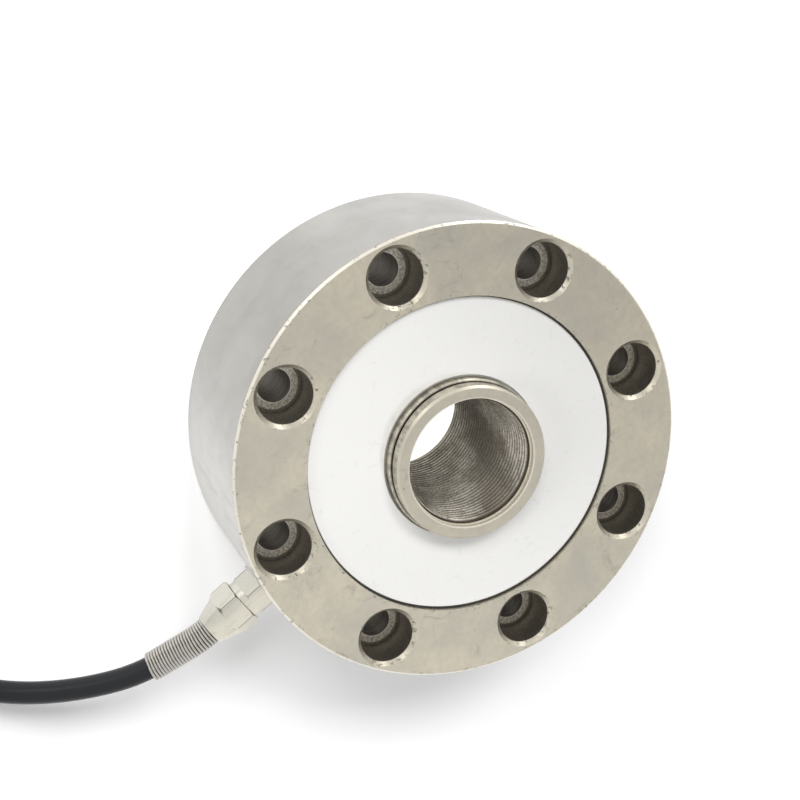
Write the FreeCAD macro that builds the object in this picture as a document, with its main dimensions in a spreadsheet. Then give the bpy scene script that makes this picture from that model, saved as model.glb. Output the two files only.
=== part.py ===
import FreeCAD, Part
import math
import os
import Sketcher

# Pancake load cell, millimetres. Z is the load axis, z = 0 is the back mounting face of the ring,
# and the cable leaves the side of the ring along +X.

document = FreeCAD.newDocument("pancake_load_cell")
sheet = document.addObject("Spreadsheet::Sheet", "sizes")

SIZES = [
    # spring element: outer ring
    ("ring_diameter", 120),
    ("ring_thickness", 47.5),
    ("ring_edge_chamfer", 0.6),
    ("recess_diameter", 83.1),
    # spring element: gauge cavity and spokes
    ("cavity_diameter", 76),
    ("spoke_count", 4),
    ("spoke_height", 28),
    ("spoke_width", 13),
    ("cavity_corner_radius", 3),
    ("gauge_pocket_diameter", 11),
    ("gauge_pocket_depth", 1.6),
    # spring element: hub
    ("hub_end_diameter", 40.2),
    ("collar_diameter", 41.4),
    ("hub_root_diameter", 46),
    ("collar_height", 2.3),
    ("collar_chamfer", 0.5),
    ("hub_groove_width", 0.7),
    ("hub_groove_depth", 0.6),
    ("hub_rise", 5.1),
    ("hub_end_chamfer", 0.6),
    ("hub_rear_setback", 1.0),
    # through thread M33 x 1.5, bored at its major diameter
    ("thread_diameter", 33),
    ("thread_relief_diameter", 33.6),
    ("thread_relief_depth", 1.6),
    ("thread_mouth_chamfer", 0.25),
    ("thread_rear_chamfer", 0.8),
    # eight counterbored holes for M8 socket head screws
    ("bolt_circle_diameter", 101.5),
    ("bolt_count", 8),
    ("bolt_first_angle", 28.5),
    ("bolt_hole_diameter", 8.6),
    ("counterbore_diameter", 14.1),
    ("counterbore_depth", 10.8),
    ("counterbore_chamfer", 1.0),
    # cover plates and their sealing beads
    ("cover_sink", 1.3),
    ("cover_thickness", 1.0),
    ("cover_edge_break", 0.15),
    ("cover_gap", 0.45),
    ("seal_clearance", 0.05),
    ("seal_height", 0.8),
    # strain gauges
    ("gauge_side", 6.5),
    ("gauge_thickness", 0.3),
    # terminal board under two spokes
    ("board_inner_radius", 25),
    ("board_outer_radius", 36),
    ("board_half_angle", 52),
    ("board_thickness", 1.2),
    ("board_pad_thickness", 0.8),
    ("board_pad_length", 8),
    ("board_pad_width", 9),
    ("resistor_length", 6),
    ("resistor_width", 2.4),
    ("resistor_height", 1.6),
    ("resistor_angle", 22),
    ("solder_pad_diameter", 1.7),
    ("solder_pad_height", 0.4),
    # cable port in the ring
    ("port_height", 24.7),
    ("spotface_diameter", 14.6),
    ("spotface_depth", 0.5),
    ("inlet_thread_clearance", 0.1),
    ("inlet_thread_room", 1.0),
    ("wire_passage_diameter", 6.6),
    # cable gland
    ("washer_diameter", 12.4),
    ("washer_thickness", 0.8),
    ("inlet_thread_diameter", 9.2),
    ("inlet_thread_length", 8),
    ("gland_bore_clearance", 0.2),
    ("base_hex_flats", 11),
    ("base_hex_length", 4.35),
    ("base_hex_roll", 55.5),
    ("neck_diameter", 10.6),
    ("neck_length", 1.85),
    ("cap_thread_diameter", 8.6),
    ("cap_thread_length", 4),
    ("cap_gap", 0.15),
    ("cap_hex_flats", 12),
    ("cap_hex_length", 4.9),
    ("cap_hex_roll", 13.6),
    ("cap_cone_length", 6.4),
    ("cap_nose_diameter", 8.5),
    ("cap_thread_clearance", 0.1),
    ("hex_corner_chamfer", 0.5),
    ("grommet_length", 2.4),
    ("grommet_gap", 0.1),
    ("clamp_ring_thickness", 0.6),
    ("jacket_clearance", 0.1),
    # strain relief spring
    ("spring_wire", 0.8),
    ("spring_clearance", 0.15),
    ("spring_pocket_clearance", 0.05),
    ("spring_length", 22.4),
    # cable
    ("cable_diameter", 6),
    ("jacket_end_radius", 36.5),
    ("core_diameter", 1.3),
    ("core_spread", 1.9),
    ("core_bend_radius", 3),
    ("lead_radius", 30.5),
    ("lead_pitch", 3),
    # coil of the cable's unseen length, and its bare end
    ("coil_turns_wide", 3),
    ("coil_turns_high", 5),
    ("coil_mean_diameter", 60),
    ("coil_turn_gap", 0.3),
    ("coil_lift", 1.1),
    ("coil_bevel", 1.6),
    ("tie_width", 9),
    ("tie_thickness", 0.8),
    ("tie_clearance", 0.1),
    ("tie_angle", 270),
    ("tail_length", 12),
    ("tail_reach", 22),
    ("sleeve_length", 18),
    ("sleeve_wall", 0.5),
    ("bare_core_length", 13),
    ("bare_core_fan", 1.5),
    ("core_tip_diameter", 0.9),
    ("core_tip_length", 5),
]

for row, (alias, number) in enumerate(SIZES, start=1):
    sheet.set(f"A{row}", alias)
    sheet.set(f"B{row}", str(number))
    sheet.setAlias(f"B{row}", alias)
document.recompute()


class Size:
    """A length or angle: its number, and the expression over the sheet that keeps a property bound to it."""

    def __init__(self, number, text):
        self.number = float(number)
        self.text = text

    def __add__(self, other):
        other = as_size(other)
        return Size(self.number + other.number, f"({self.text} + {other.text})")

    def __sub__(self, other):
        other = as_size(other)
        return Size(self.number - other.number, f"({self.text} - {other.text})")

    def __mul__(self, other):
        other = as_size(other)
        return Size(self.number * other.number, f"({self.text} * {other.text})")

    def __truediv__(self, other):
        other = as_size(other)
        return Size(self.number / other.number, f"({self.text} / {other.text})")

    def __neg__(self):
        return Size(-self.number, f"(0 - {self.text})")


def as_size(value):
    return value if isinstance(value, Size) else Size(value, str(value))


def size(alias):
    return Size(sheet.get(alias), f"sizes.{alias}")


def cosine(angle):
    return Size(math.cos(math.radians(angle.number)), f"cos({angle.text} * 1 deg)")


def sine(angle):
    return Size(math.sin(math.radians(angle.number)), f"sin({angle.text} * 1 deg)")


def root(square):
    return Size(math.sqrt(square.number), f"sqrt({square.text})")


ORIGIN = Size(0, "0")

# Radii and heights that several sub-parts share
ring_radius = size("ring_diameter") / 2
ring_top = size("ring_thickness")
recess_radius = size("recess_diameter") / 2
cavity_radius = size("cavity_diameter") / 2
hub_root_radius = size("hub_root_diameter") / 2
collar_radius = size("collar_diameter") / 2
front_seat = ring_top - size("cover_sink") - size("cover_thickness")
rear_seat = size("cover_sink") + size("cover_thickness")
hub_top = ring_top + size("hub_rise")
spoke_top = (ring_top + size("spoke_height")) / 2
spoke_bottom = (ring_top - size("spoke_height")) / 2
spoke_reach = (cavity_radius + hub_root_radius) / 2
spoke_pitch = as_size(360) / size("spoke_count")
bolt_circle_radius = size("bolt_circle_diameter") / 2
port_height = size("port_height")

# Stations of the gland along X, from the ring outwards
port_face = ring_radius - size("spotface_depth")
base_start = port_face + size("washer_thickness")
neck_start = base_start + size("base_hex_length")
thread_start = neck_start + size("neck_length")
thread_end = thread_start + size("cap_thread_length")
cap_start = thread_start + size("cap_gap")
cone_start = cap_start + size("cap_hex_length")
nose_end = cone_start + size("cap_cone_length")
grommet_start = thread_end + size("grommet_gap")
grommet_end = grommet_start + size("grommet_length")
clamp_end = grommet_end + size("grommet_gap") + size("clamp_ring_thickness")
spring_start = clamp_end + size("grommet_gap")
cable_radius = size("cable_diameter") / 2
gland_bore_radius = cable_radius + size("gland_bore_clearance")
spring_inner_radius = cable_radius + size("spring_clearance")
spring_outer_radius = spring_inner_radius + size("spring_wire")
spring_pocket_radius = spring_outer_radius + size("spring_pocket_clearance")
cap_bore_radius = size("cap_thread_diameter") / 2 + size("cap_thread_clearance")


def origin_plane(body, role):
    return next(feature for feature in body.Origin.OriginFeatures if feature.Role == role)


def new_body(name):
    body = document.addObject("PartDesign::Body", name)
    body.Label = name
    return body


def new_sketch(body, name, role, offset=None, turn=None):
    """Sketch on one of the body's origin planes, moved along its normal by offset and turned about its own Y."""
    sketch = body.newObject("Sketcher::SketchObject", name)
    sketch.AttachmentSupport = [(origin_plane(body, role), "")]
    sketch.MapMode = "FlatFace"
    if turn is not None:
        sketch.AttachmentOffset = FreeCAD.Placement(
            FreeCAD.Vector(0, 0, 0), FreeCAD.Rotation(FreeCAD.Vector(0, 1, 0), turn.number)
        )
        sketch.setExpression("AttachmentOffset.Rotation.Angle", turn.text)
        if offset is not None:
            sketch.setExpression("AttachmentOffset.Base.x", (offset * sine(turn)).text)
            sketch.setExpression("AttachmentOffset.Base.z", (offset * cosine(turn)).text)
    elif offset is not None:
        sketch.setExpression("AttachmentOffset.Base.z", offset.text)
    return sketch


def pin(sketch, geometry, point, across, up):
    """Ties one point of the sketch to its place, measured from the sketch's origin."""
    for kind, axis, distance in (("DistanceX", -2, across), ("DistanceY", -1, up)):
        if distance is ORIGIN:
            sketch.addConstraint(Sketcher.Constraint("PointOnObject", geometry, point, axis))
            continue
        index = sketch.addConstraint(
            Sketcher.Constraint(kind, -1, 1, geometry, point, distance.number)
        )
        sketch.setExpression(f"Constraints[{index}]", distance.text)


def draw_outline(sketch, corners):
    """Closed outline of straight lines through corners, each one pinned."""
    count = len(corners)
    first = sketch.GeometryCount
    for index, (across, up) in enumerate(corners):
        next_across, next_up = corners[(index + 1) % count]
        start = FreeCAD.Vector(across.number, up.number, 0)
        end = FreeCAD.Vector(next_across.number, next_up.number, 0)
        sketch.addGeometry(Part.LineSegment(start, end), False)
    for index, (across, up) in enumerate(corners):
        following = first + (index + 1) % count
        sketch.addConstraint(
            Sketcher.Constraint("Coincident", first + index, 2, following, 1)
        )
        pin(sketch, first + index, 1, across, up)


def draw_circle(sketch, across, up, radius):
    centre = FreeCAD.Vector(across.number, up.number, 0)
    geometry = sketch.addGeometry(
        Part.Circle(centre, FreeCAD.Vector(0, 0, 1), radius.number), False
    )
    pin(sketch, geometry, 3, across, up)
    index = sketch.addConstraint(Sketcher.Constraint("Radius", geometry, radius.number))
    sketch.setExpression(f"Constraints[{index}]", radius.text)


def hexagon_corners(flats, roll, across, up):
    corner_radius = flats / root(as_size(3))
    corners = []
    for step in range(6):
        angle = roll + 60 * step
        corners.append((across + corner_radius * cosine(angle), up + corner_radius * sine(angle)))
    return corners


def revolve(body, name, sketch, axis):
    feature = body.newObject("PartDesign::Revolution", name)
    feature.Profile = sketch
    feature.ReferenceAxis = (sketch, [axis])
    feature.Angle = 360
    return feature


def pad(body, name, sketch, length):
    feature = body.newObject("PartDesign::Pad", name)
    feature.Profile = sketch
    feature.setExpression("Length", length.text)
    return feature


def pocket(body, name, sketch, depth, reverse=False, taper=None):
    """Blind pocket that has to take material away."""
    document.recompute()
    before = body.Shape.Volume
    feature = body.newObject("PartDesign::Pocket", name)
    feature.Profile = sketch
    feature.Type = "Length"
    feature.Reversed = reverse
    feature.setExpression("Length", depth.text)
    if taper is not None:
        feature.TaperAngle = taper
    document.recompute()
    if body.Shape.Volume >= before:
        raise RuntimeError(f"{name} cuts nothing")
    return feature


def polar_pattern(body, name, originals, count):
    pattern = body.newObject("PartDesign::PolarPattern", name)
    pattern.Originals = originals
    axis = next(feature for feature in body.Origin.OriginFeatures if feature.Role == "Z_Axis")
    pattern.Axis = (axis, [""])
    pattern.Angle = 360
    pattern.setExpression("Occurrences", count.text)
    body.Tip = pattern
    return pattern


# Spring element

def element_section():
    """Half section of the ring, the web that becomes the spokes, and the bored hub."""
    chamfer = size("ring_edge_chamfer")
    hub_radius = size("hub_end_diameter") / 2
    bore = size("thread_diameter") / 2
    relief = size("thread_relief_diameter") / 2
    relief_end = hub_top - size("thread_relief_depth")
    mouth = size("thread_mouth_chamfer")
    rear_chamfer = size("thread_rear_chamfer")
    hub_rear = size("hub_rear_setback")
    collar_top = ring_top - size("cover_sink") + size("collar_height")
    collar_chamfer = size("collar_chamfer")
    groove_top = collar_top + size("hub_groove_width")
    groove_radius = hub_radius - size("hub_groove_depth")
    end_chamfer = size("hub_end_chamfer")
    return [
        (ring_radius - chamfer, ORIGIN),
        (ring_radius, chamfer),
        (ring_radius, ring_top - chamfer),
        (ring_radius - chamfer, ring_top),
        (recess_radius, ring_top),
        (recess_radius, front_seat),
        (cavity_radius, front_seat),
        (cavity_radius, spoke_top),
        (hub_root_radius, spoke_top),
        (hub_root_radius, front_seat),
        (collar_radius, front_seat),
        (collar_radius, collar_top - collar_chamfer),
        (collar_radius - collar_chamfer, collar_top),
        (groove_radius, collar_top),
        (groove_radius, groove_top),
        (hub_radius, groove_top),
        (hub_radius, hub_top - end_chamfer),
        (hub_radius - end_chamfer, hub_top),
        (relief + mouth, hub_top),
        (relief, hub_top - mouth),
        (relief, relief_end),
        (bore, relief_end),
        (bore, hub_rear + rear_chamfer),
        (bore + rear_chamfer, hub_rear),
        (collar_radius, hub_rear),
        (collar_radius, rear_seat),
        (hub_root_radius, rear_seat),
        (hub_root_radius, spoke_bottom),
        (cavity_radius, spoke_bottom),
        (cavity_radius, rear_seat),
        (recess_radius, rear_seat),
        (recess_radius, ORIGIN),
    ]


def cavity_outline(sketch):
    """One opening between two spokes: two arcs about the axis, joined by the spokes' side faces."""
    half_width = size("spoke_width") / 2
    half_pitch = spoke_pitch / 2
    outer_along = root(cavity_radius * cavity_radius - half_width * half_width)
    inner_along = root(hub_root_radius * hub_root_radius - half_width * half_width)

    def spoke_point(along, side):
        across = along * cosine(half_pitch) + half_width * sine(half_pitch)
        up = along * sine(half_pitch) - half_width * cosine(half_pitch)
        return (across, up if side > 0 else -up)

    centre = FreeCAD.Vector(0, 0, 0)
    normal = FreeCAD.Vector(0, 0, 1)
    arcs = []
    for radius, along in ((cavity_radius, outer_along), (hub_root_radius, inner_along)):
        across, up = spoke_point(along, 1)
        reach = math.atan2(up.number, across.number)
        circle = Part.Circle(centre, normal, radius.number)
        arc = sketch.addGeometry(Part.ArcOfCircle(circle, -reach, reach), False)
        sketch.addConstraint(Sketcher.Constraint("Coincident", arc, 3, -1, 1))
        pin(sketch, arc, 2, across, up)
        lower_up = sketch.addConstraint(Sketcher.Constraint("DistanceY", -1, 1, arc, 1, -up.number))
        sketch.setExpression(f"Constraints[{lower_up}]", (-up).text)
        arcs.append((arc, across, up))
    (outer, outer_across, outer_up), (inner, inner_across, inner_up) = arcs
    for sign, outer_end, inner_end in ((1, 2, 2), (-1, 1, 1)):
        start = FreeCAD.Vector(inner_across.number, sign * inner_up.number, 0)
        end = FreeCAD.Vector(outer_across.number, sign * outer_up.number, 0)
        side = sketch.addGeometry(Part.LineSegment(start, end), False)
        sketch.addConstraint(Sketcher.Constraint("Coincident", side, 1, inner, inner_end))
        sketch.addConstraint(Sketcher.Constraint("Coincident", side, 2, outer, outer_end))


def cavity_corner_edges(shape):
    """Upright edges where the spokes meet the hub and the ring."""
    corner_radii = (hub_root_radius.number, cavity_radius.number)
    names = []
    for index, edge in enumerate(shape.Edges, start=1):
        if not isinstance(edge.Curve, Part.Line):
            continue
        first, last = edge.Vertexes[0].Point, edge.Vertexes[-1].Point
        upright = abs(first.x - last.x) < 1e-4 and abs(first.y - last.y) < 1e-4
        radius = math.hypot(first.x, first.y)
        if upright and any(abs(radius - corner) < 1e-3 for corner in corner_radii):
            names.append(f"Edge{index}")
    return names


def cut_cavities(body):
    outline = new_sketch(body, "cavity_outline", "XY_Plane", spoke_top)
    cavity_outline(outline)
    opening = pocket(body, "cavity", outline, size("spoke_height"))
    pattern = polar_pattern(body, "cavities", [opening], size("spoke_count"))
    document.recompute()
    corners = body.newObject("PartDesign::Fillet", "cavity_corners")
    corners.Base = (pattern, cavity_corner_edges(pattern.Shape))
    corners.setExpression("Radius", size("cavity_corner_radius").text)


def cut_gauge_pockets(body):
    """A round pocket in each side of every spoke, which leaves the thin web that the gauges read."""
    half_width = size("spoke_width") / 2
    middle = (spoke_top + spoke_bottom) / 2
    for name, offset, reverse in (("right", half_width, False), ("left", -half_width, True)):
        outline = new_sketch(
            body, f"gauge_pocket_outline_{name}", "XZ_Plane", offset, spoke_pitch / 2
        )
        draw_circle(outline, spoke_reach, middle, size("gauge_pocket_diameter") / 2)
        cut = pocket(
            body, f"gauge_pocket_{name}", outline, size("gauge_pocket_depth"), reverse
        )
        polar_pattern(body, f"gauge_pockets_{name}", [cut], size("spoke_count"))


def drill_bolt_holes(body):
    angle = size("bolt_first_angle")
    across = bolt_circle_radius * cosine(angle)
    up = bolt_circle_radius * sine(angle)
    seat_radius = size("counterbore_diameter") / 2
    cuts = []
    for name, radius, depth, taper in (
        ("counterbore", seat_radius, size("counterbore_depth"), None),
        ("bolt_hole", size("bolt_hole_diameter") / 2, ring_top, None),
        (
            "counterbore_mouth",
            seat_radius + size("counterbore_chamfer"),
            size("counterbore_chamfer"),
            -45,
        ),
    ):
        outline = new_sketch(body, f"{name}_outline", "XY_Plane", ring_top)
        draw_circle(outline, across, up, radius)
        cuts.append(pocket(body, name, outline, depth, taper=taper))
    polar_pattern(body, "bolt_holes", cuts, size("bolt_count"))


def drill_cable_port(body):
    """Spotface, threaded port and wire passage, bored in along X from outside the ring."""
    port_radius = size("inlet_thread_diameter") / 2 + size("inlet_thread_clearance")
    thread_depth = size("spotface_depth") + size("inlet_thread_length") + size("inlet_thread_room")
    wall = ring_radius - cavity_radius
    for name, radius, depth in (
        ("spotface", size("spotface_diameter") / 2, size("spotface_depth")),
        ("port_thread", port_radius, thread_depth),
        ("wire_passage", size("wire_passage_diameter") / 2, wall + size("cavity_corner_radius")),
    ):
        outline = new_sketch(body, f"{name}_outline", "YZ_Plane", ring_radius)
        draw_circle(outline, ORIGIN, port_height, radius)
        pocket(body, name, outline, depth)


def make_element():
    body = new_body("elastic_element")
    section = new_sketch(body, "element_section", "XZ_Plane")
    draw_outline(section, element_section())
    revolve(body, "element_blank", section, "V_Axis")
    cut_cavities(body)
    cut_gauge_pockets(body)
    drill_bolt_holes(body)
    drill_cable_port(body)
    return body


# Covers and sealing beads

def make_cover(name, inner_face, outer_face):
    """Flat annular plate between two heights, broken at its visible edges."""
    body = new_body(name)
    inner = collar_radius + size("cover_gap")
    outer = recess_radius - size("cover_gap")
    edge = size("cover_edge_break")
    step = edge if outer_face.number > inner_face.number else -edge
    section = new_sketch(body, f"{name}_section", "XZ_Plane")
    draw_outline(
        section,
        [
            (inner, inner_face),
            (outer, inner_face),
            (outer, outer_face - step),
            (outer - edge, outer_face),
            (inner + edge, outer_face),
            (inner, outer_face - step),
        ],
    )
    revolve(body, f"{name}_plate", section, "V_Axis")
    return body


def make_ring(name, inner, outer, base, height):
    """Plain ring about the load axis."""
    rim = document.addObject("Part::Cylinder", f"{name}_rim")
    rim.setExpression("Radius", outer.text)
    hole = document.addObject("Part::Cylinder", f"{name}_hole")
    hole.setExpression("Radius", inner.text)
    for cylinder in (rim, hole):
        cylinder.setExpression("Height", height.text)
        cylinder.setExpression("Placement.Base.z", base.text)
    ring = document.addObject("Part::Cut", name)
    ring.Label = name
    ring.Base = rim
    ring.Tool = hole
    return ring


def make_seals():
    width = size("cover_gap") - size("seal_clearance") * 2
    outer = recess_radius - size("seal_clearance")
    inner = collar_radius + size("seal_clearance")
    height = size("seal_height")
    return [
        make_ring("front_outer_seal", outer - width, outer, front_seat, height),
        make_ring("front_inner_seal", inner, inner + width, front_seat, height),
        make_ring("rear_outer_seal", outer - width, outer, rear_seat - height, height),
        make_ring("rear_inner_seal", inner, inner + width, rear_seat - height, height),
    ]


# Gauges and terminal board

def make_gauges():
    """Square foils turned by 45 degrees, bonded to the floors of the gauge pockets."""
    side = size("gauge_side")
    thickness = size("gauge_thickness")
    floor = size("spoke_width") / 2 - size("gauge_pocket_depth")
    middle = (spoke_top + spoke_bottom) / 2
    gauges = []
    for spoke in range(int(size("spoke_count").number)):
        azimuth = (0.5 + spoke) * spoke_pitch.number
        for sign in (1, -1):
            name = f"gauge_{len(gauges) + 1}"
            gauge = document.addObject("Part::Box", name)
            gauge.Label = name
            gauge.setExpression("Length", side.text)
            gauge.setExpression("Width", thickness.text)
            gauge.setExpression("Height", side.text)
            low = floor.number if sign > 0 else -floor.number - thickness.number
            half = side.number / 2
            centred = FreeCAD.Placement(FreeCAD.Vector(-half, low, -half), FreeCAD.Rotation())
            tilted = FreeCAD.Placement(
                FreeCAD.Vector(spoke_reach.number, 0, middle.number),
                FreeCAD.Rotation(FreeCAD.Vector(0, 1, 0), 45),
            )
            turned = FreeCAD.Placement(
                FreeCAD.Vector(0, 0, 0), FreeCAD.Rotation(FreeCAD.Vector(0, 0, 1), azimuth)
            )
            gauge.Placement = turned.multiply(tilted).multiply(centred)
            gauges.append(gauge)
    return gauges


board_top = spoke_bottom - size("board_pad_thickness")
board_bottom = board_top - size("board_thickness")
board_middle = (size("board_inner_radius") + size("board_outer_radius")) / 2


def make_board():
    """Sector of a ring in a plane below the spokes."""
    body = new_body("terminal_board")
    outline = new_sketch(body, "board_outline", "XY_Plane", board_bottom)
    half_angle = size("board_half_angle")
    reach = math.radians(half_angle.number)
    centre = FreeCAD.Vector(0, 0, 0)
    arcs = []
    for radius in (size("board_outer_radius"), size("board_inner_radius")):
        circle = Part.Circle(centre, FreeCAD.Vector(0, 0, 1), radius.number)
        arc = outline.addGeometry(Part.ArcOfCircle(circle, -reach, reach), False)
        outline.addConstraint(Sketcher.Constraint("Coincident", arc, 3, -1, 1))
        across, up = radius * cosine(half_angle), radius * sine(half_angle)
        pin(outline, arc, 2, across, up)
        lower_up = outline.addConstraint(Sketcher.Constraint("DistanceY", -1, 1, arc, 1, -up.number))
        outline.setExpression(f"Constraints[{lower_up}]", (-up).text)
        arcs.append((arc, across, up))
    (outer, outer_across, outer_up), (inner, inner_across, inner_up) = arcs
    for sign, end in ((1, 2), (-1, 1)):
        start = FreeCAD.Vector(inner_across.number, sign * inner_up.number, 0)
        stop = FreeCAD.Vector(outer_across.number, sign * outer_up.number, 0)
        side = outline.addGeometry(Part.LineSegment(start, stop), False)
        outline.addConstraint(Sketcher.Constraint("Coincident", side, 1, inner, end))
        outline.addConstraint(Sketcher.Constraint("Coincident", side, 2, outer, end))
    pad(body, "board_plate", outline, size("board_thickness"))
    return body


def make_block(name, length, width, height, azimuth):
    """Block on the board at its middle radius."""
    block = document.addObject("Part::Box", name)
    block.Label = name
    block.setExpression("Length", length.text)
    block.setExpression("Width", width.text)
    block.setExpression("Height", height.text)
    corner = FreeCAD.Placement(
        FreeCAD.Vector(
            board_middle.number - length.number / 2, -width.number / 2, board_top.number
        ),
        FreeCAD.Rotation(),
    )
    turned = FreeCAD.Placement(
        FreeCAD.Vector(0, 0, 0), FreeCAD.Rotation(FreeCAD.Vector(0, 0, 1), azimuth)
    )
    block.Placement = turned.multiply(corner)
    return block


def make_board_pieces():
    """Bonding pads under the two spokes beside the cable port, and a resistor beside each of these spokes."""
    spoke_azimuth = spoke_pitch.number / 2
    resistor_azimuth = spoke_azimuth - size("resistor_angle").number
    pieces = []
    for side, sign in (("left", 1), ("right", -1)):
        pieces.append(
            make_block(
                f"board_pad_{side}",
                size("board_pad_length"),
                size("board_pad_width"),
                size("board_pad_thickness"),
                sign * spoke_azimuth,
            )
        )
        pieces.append(
            make_block(
                f"trim_resistor_{side}",
                size("resistor_width"),
                size("resistor_length"),
                size("resistor_height"),
                sign * resistor_azimuth,
            )
        )
    return pieces


# Cable cores inside the housing

core_radius = size("core_diameter") / 2
core_offset = size("core_spread") / 2
jacket_end = size("jacket_end_radius")
lead_foot = board_top + size("solder_pad_height")
LEADS = [("lead_red", 1, 1), ("lead_black", -1, 1), ("lead_green", 1, -1), ("lead_white", -1, -1)]


def lead_line(upper):
    """X of a lead's downward leg: the upper pair of cores reaches further in."""
    step = size("lead_pitch") / 2
    return size("lead_radius") - step if upper > 0 else size("lead_radius") + step


def swept_round(path, radius):
    """Solid of round section along a wire, square to the wire at both ends."""
    start = path.Edges[0]
    point = start.valueAt(start.FirstParameter)
    direction = start.tangentAt(start.FirstParameter)
    circle = Part.Wire([Part.makeCircle(radius, point, direction)])
    return path.makePipeShell([circle], True, False)


def arc_corner(before, corner, after, tangent_length):
    """Arc that rounds a corner, from tangent_length before it to tangent_length after it."""
    incoming = (before - corner).normalize()
    outgoing = (after - corner).normalize()
    start = corner + incoming * tangent_length
    end = corner + outgoing * tangent_length
    half_turn = (math.pi - incoming.getAngle(outgoing)) / 2
    radius = tangent_length / math.tan(half_turn)
    bisector = (incoming + outgoing).normalize()
    middle = corner + bisector * (radius / math.cos(half_turn) - radius)
    return start, middle, end, radius


def make_feature(name, shape):
    feature = document.addObject("Part::Feature", name)
    feature.Label = name
    feature.Shape = shape
    feature.Placement = FreeCAD.Placement()
    return feature


def make_leads():
    leads = []
    for name, across, upper in LEADS:
        y = across * core_offset.number
        z = port_height.number + upper * core_offset.number
        x = lead_line(upper).number
        start = FreeCAD.Vector(jacket_end.number, y, z)
        corner = FreeCAD.Vector(x, y, z)
        foot = FreeCAD.Vector(x, y, lead_foot.number)
        first, middle, last, _ = arc_corner(start, corner, foot, size("core_bend_radius").number)
        path = Part.Wire(
            [
                Part.LineSegment(start, first).toShape(),
                Part.Arc(first, middle, last).toShape(),
                Part.LineSegment(last, foot).toShape(),
            ]
        )
        leads.append(make_feature(name, swept_round(path, core_radius.number)))
    return leads


def make_solder_pads():
    pads = []
    for name, across, upper in LEADS:
        disc = document.addObject("Part::Cylinder", f"{name}_pad")
        disc.setExpression("Radius", (size("solder_pad_diameter") / 2).text)
        disc.setExpression("Height", size("solder_pad_height").text)
        disc.setExpression("Placement.Base.x", lead_line(upper).text)
        disc.setExpression("Placement.Base.y", (core_offset * across).text)
        disc.setExpression("Placement.Base.z", board_top.text)
        pads.append(disc)
    group = document.addObject("Part::MultiFuse", "solder_pads")
    group.Label = "solder_pads"
    group.Shapes = pads
    return group


# Cable gland, all turned about the line y = 0, z = port_height

def gland_section(sketch, corners):
    """Outline in stations along X and radii, drawn above the gland's axis, which is a construction line."""
    draw_outline(sketch, [(station, port_height + radius) for station, radius in corners])
    first, last = corners[0][0], corners[-1][0]
    start = FreeCAD.Vector(first.number, port_height.number, 0)
    end = FreeCAD.Vector(first.number + size("cable_diameter").number, port_height.number, 0)
    axis = sketch.addGeometry(Part.LineSegment(start, end), True)
    pin(sketch, axis, 1, first, port_height)
    sketch.addConstraint(Sketcher.Constraint("Horizontal", axis))
    length = sketch.addConstraint(
        Sketcher.Constraint("Distance", axis, size("cable_diameter").number)
    )
    sketch.setExpression(f"Constraints[{length}]", size("cable_diameter").text)


def turned_body(name, corners):
    body = new_body(name)
    section = new_sketch(body, f"{name}_section", "XZ_Plane")
    gland_section(section, corners)
    revolve(body, f"{name}_turning", section, "Axis0")
    return body


def mill_hexagon(body, name, flats, roll, start, length):
    """Cuts six flats over a length of the turned blank."""
    outline = new_sketch(body, f"{name}_outline", "YZ_Plane", start + length)
    draw_outline(outline, hexagon_corners(flats, roll, ORIGIN, port_height))
    draw_circle(outline, ORIGIN, port_height, flats)
    pocket(body, name, outline, length)


def make_gland_body():
    stub = size("inlet_thread_diameter") / 2
    corner = size("base_hex_flats") / root(as_size(3))
    break_edge = size("hex_corner_chamfer")
    neck = size("neck_diameter") / 2
    thread = size("cap_thread_diameter") / 2
    body = turned_body(
        "gland_body",
        [
            (port_face - size("inlet_thread_length"), gland_bore_radius),
            (port_face - size("inlet_thread_length"), stub),
            (base_start, stub),
            (base_start, corner),
            (neck_start - break_edge / 2, corner),
            (neck_start, corner - break_edge),
            (neck_start, neck),
            (thread_start, neck),
            (thread_start, thread),
            (thread_end, thread),
            (thread_end, gland_bore_radius),
        ],
    )
    mill_hexagon(
        body,
        "base_hexagon",
        size("base_hex_flats"),
        size("base_hex_roll"),
        base_start,
        size("base_hex_length"),
    )
    return body


def make_cap_nut():
    corner = size("cap_hex_flats") / root(as_size(3))
    break_edge = size("hex_corner_chamfer")
    nose = size("cap_nose_diameter") / 2
    seat = grommet_end + size("grommet_gap")
    cone_root = size("cap_hex_flats") / 2
    body = turned_body(
        "gland_cap_nut",
        [
            (cap_start, cap_bore_radius),
            (cap_start, corner - break_edge),
            (cap_start + break_edge / 2, corner),
            (cone_start, corner),
            (cone_start + (corner - cone_root), cone_root),
            (nose_end, nose),
            (nose_end, spring_pocket_radius),
            (seat, spring_pocket_radius),
            (seat - (cap_bore_radius - spring_pocket_radius), cap_bore_radius),
        ],
    )
    mill_hexagon(
        body,
        "cap_hexagon",
        size("cap_hex_flats"),
        size("cap_hex_roll"),
        cap_start,
        size("cap_hex_length") + (corner - cone_root),
    )
    return body


def make_sleeve(name, start, end, inner, outer):
    """Plain tube about the gland's axis."""
    return turned_body(name, [(start, inner), (start, outer), (end, outer), (end, inner)])


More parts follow.
